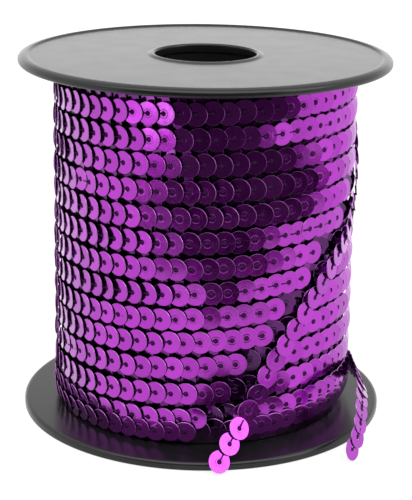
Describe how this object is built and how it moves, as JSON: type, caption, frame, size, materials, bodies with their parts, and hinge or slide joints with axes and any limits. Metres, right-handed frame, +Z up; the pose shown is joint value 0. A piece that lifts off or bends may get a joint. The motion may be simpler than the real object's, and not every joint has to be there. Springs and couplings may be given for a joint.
{
  "type": "sequin trim on a flanged plastic spool",
  "caption": "Narrow trim of overlapping round sequins wound in rows on a flanged plastic spool with a centre bore, with two loose ends hanging free.",
  "frame": {"origin": "on the surface that the spool stands on, on the spool's axis", "axes": "+Z up along the spool's axis, -Y towards the front, where the longer loose end hangs"},
  "size_m": [0.1, 0.103, 0.0992],
  "materials": {
    "spool_plastic": "satin moulded black plastic",
    "sequin_film": "metallic purple sequin film",
    "trim_thread": "dark purple sewing thread"
  },
  "bodies": {
    "root": {"flange_bottom": "spool_plastic", "flange_top": "spool_plastic", "core_tube": "spool_plastic", "trim_roll": "sequin_film", "loose_end_front": "sequin_film", "loose_end_side": "sequin_film"}
  },
  "joints": []
}
